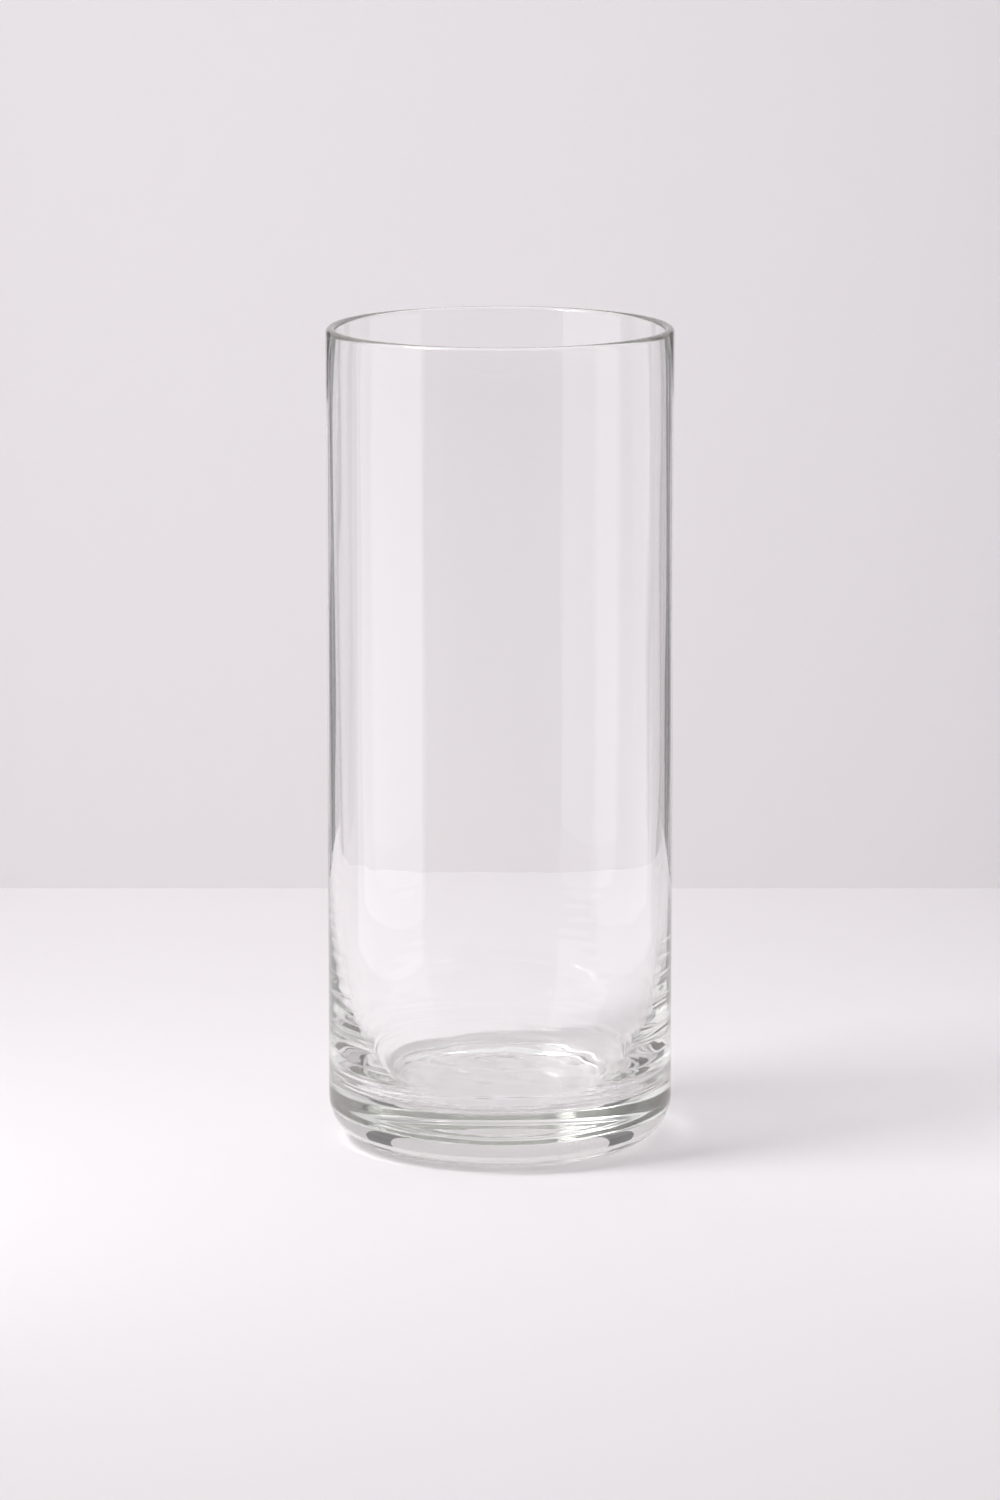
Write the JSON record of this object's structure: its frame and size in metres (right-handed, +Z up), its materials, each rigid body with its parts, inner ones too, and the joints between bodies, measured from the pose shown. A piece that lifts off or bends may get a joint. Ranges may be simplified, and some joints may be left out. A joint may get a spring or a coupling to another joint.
{
  "type": "cylinder vase",
  "caption": "Straight-sided clear glass cylinder vase with a rounded rim, a thick base and a rounded heel.",
  "frame": {"origin": "centre of the foot, on the surface that the vase stands on", "axes": "+Z up along the vase's own axis; X and Y are level and alike, because the vase is round"},
  "size_m": [0.1, 0.1, 0.238],
  "materials": {
    "clear_glass": "clear soda-lime glass, fire-polished, with a faint grey-green tint in the thick base"
  },
  "bodies": {
    "root": {"glass_vase": "clear_glass"}
  },
  "joints": []
}
